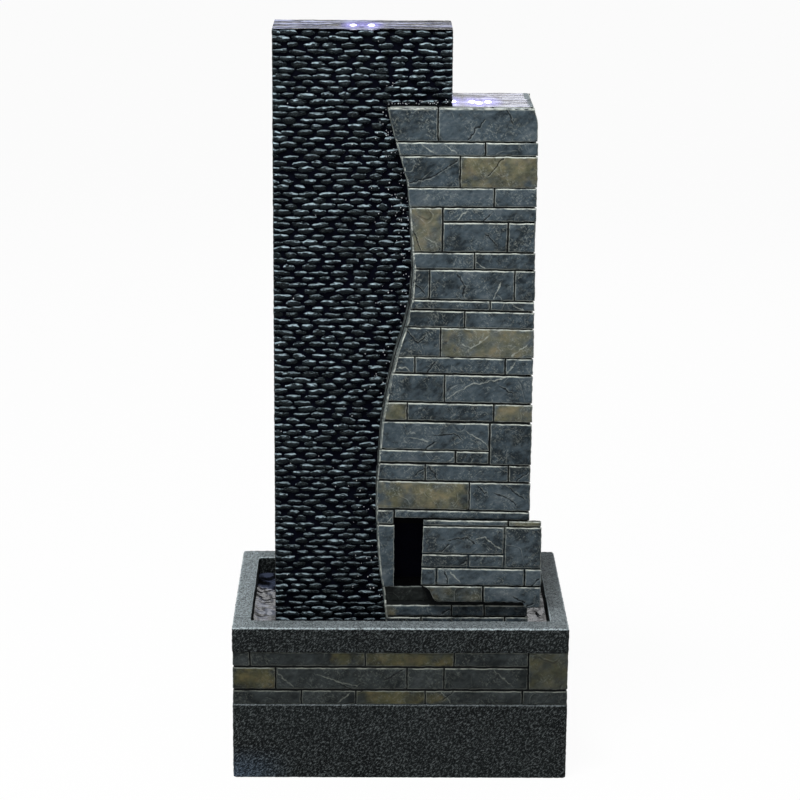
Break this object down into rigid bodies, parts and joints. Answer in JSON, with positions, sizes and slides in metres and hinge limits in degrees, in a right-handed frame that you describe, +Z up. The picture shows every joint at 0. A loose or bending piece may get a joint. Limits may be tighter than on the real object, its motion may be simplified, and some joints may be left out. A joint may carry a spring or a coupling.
{
  "type": "garden water fountain",
  "caption": "Lit garden water fountain: a stone-banded basin with a tall pebble-faced column and a lower S-edged slate column, fed by a pump behind a sliding stone panel.",
  "frame": {"origin": "on the ground under the middle of the basin", "axes": "+Z up, -Y out of the face side, +X to the right seen from the front"},
  "size_m": [0.4, 0.28, 0.889],
  "materials": {
    "cast_resin": "hammered dark grey cast resin and stone powder, satin",
    "slate": "split blue-grey slate look with pale dry-brushed arrises",
    "wet_pebble": "wet near-black flat pebbles",
    "black_plastic": "moulded, fine grain",
    "grey_plastic": "moulded, satin",
    "clear_hose": "clear soft tube",
    "clear_lens": "clear polished cover",
    "light_white": "milky white diode body",
    "rubber": "soft matt",
    "steel": "bright stainless",
    "white_ceramic": "ground"
  },
  "bodies": {
    "fountain": {"basin": "cast_resin", "basin_stone_band": "slate", "cable_grommet": "rubber", "cable_splice": "black_plastic", "chamber_plate": "black_plastic", "door_rails": "grey_plastic", "hose_clamps": "steel", "hose_tee": "black_plastic", "light_diodes": "light_white", "light_housings": "black_plastic", "light_lenses": "clear_lens", "nozzle_nuts": "black_plastic", "pebble_facing": "wet_pebble", "pump_cover": "black_plastic", "pump_housing": "black_plastic", "pump_lead": "rubber", "pump_outlet": "black_plastic", "pump_shaft": "white_ceramic", "shaft_bushes": "rubber", "slate_column": "cast_resin", "slate_facing": "slate", "slate_light_lead": "rubber", "slate_riser_hose": "clear_hose", "suction_cups": "rubber", "tall_column": "cast_resin", "tall_light_lead": "rubber", "tall_riser_hose": "clear_hose", "water_nozzles": "black_plastic"},
    "panel": {"access_panel": "slate", "panel_guides": "grey_plastic", "guide_screws": "steel"},
    "regulator": {"flow_regulator": "grey_plastic"},
    "wheel": {"impeller": "grey_plastic"}
  },
  "joints": [
    {"name": "panel_slide", "type": "slide", "parent": "fountain", "child": "panel", "axis": [1, 0, 0], "range_m": [-0.0325, 0.075]},
    {"name": "wheel_spin", "type": "hinge", "parent": "fountain", "child": "wheel", "pos_m": [0.0895, -0.0135, 0.054], "axis": [0, 1, 0], "continuous": true},
    {"name": "regulator_slide", "type": "slide", "parent": "fountain", "child": "regulator", "axis": [-1, 0, 0], "range_m": [0, 0.012]}
  ]
}
